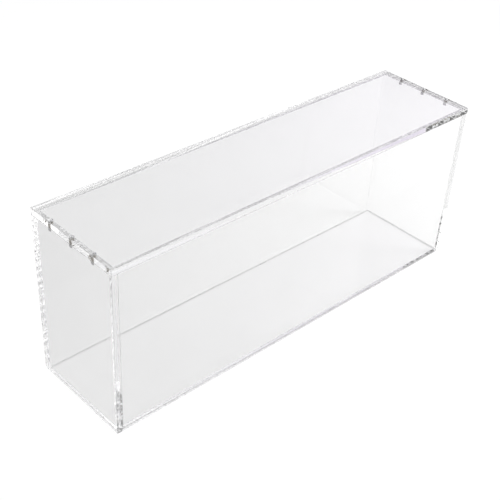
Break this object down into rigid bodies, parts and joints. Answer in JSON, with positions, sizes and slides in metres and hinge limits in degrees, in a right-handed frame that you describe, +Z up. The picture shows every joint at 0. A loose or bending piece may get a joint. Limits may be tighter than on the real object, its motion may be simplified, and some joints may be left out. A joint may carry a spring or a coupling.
{
  "type": "card storage box",
  "caption": "Long clear acrylic case for a row of graded cards, with cemented walls and a flat lift-off lid held by magnets along its short ends.",
  "frame": {"origin": "middle of the underside of the base", "axes": "+X along the row of cards, -Y towards the front, +Z up"},
  "size_m": [0.375, 0.094, 0.148],
  "materials": {
    "clear_acrylic": "colourless cast acrylic sheet, faces as cast, edges diamond polished",
    "nickel_plating": "bright nickel plating on sintered magnets"
  },
  "bodies": {
    "box": {"base_panel": "clear_acrylic", "front_panel": "clear_acrylic", "back_panel": "clear_acrylic", "left_end_panel": "clear_acrylic", "right_end_panel": "clear_acrylic", "end_magnet_left_1": "nickel_plating", "end_magnet_left_2": "nickel_plating", "end_magnet_left_3": "nickel_plating", "end_magnet_right_1": "nickel_plating", "end_magnet_right_2": "nickel_plating", "end_magnet_right_3": "nickel_plating"},
    "lid": {"lid_panel": "clear_acrylic", "lid_magnet_left_1": "nickel_plating", "lid_magnet_left_2": "nickel_plating", "lid_magnet_left_3": "nickel_plating", "lid_magnet_right_1": "nickel_plating", "lid_magnet_right_2": "nickel_plating", "lid_magnet_right_3": "nickel_plating"}
  },
  "joints": [
    {"name": "lid_lift", "type": "slide", "parent": "box", "child": "lid", "axis": [0, 0, 1], "range_m": [0, 0.15]}
  ]
}
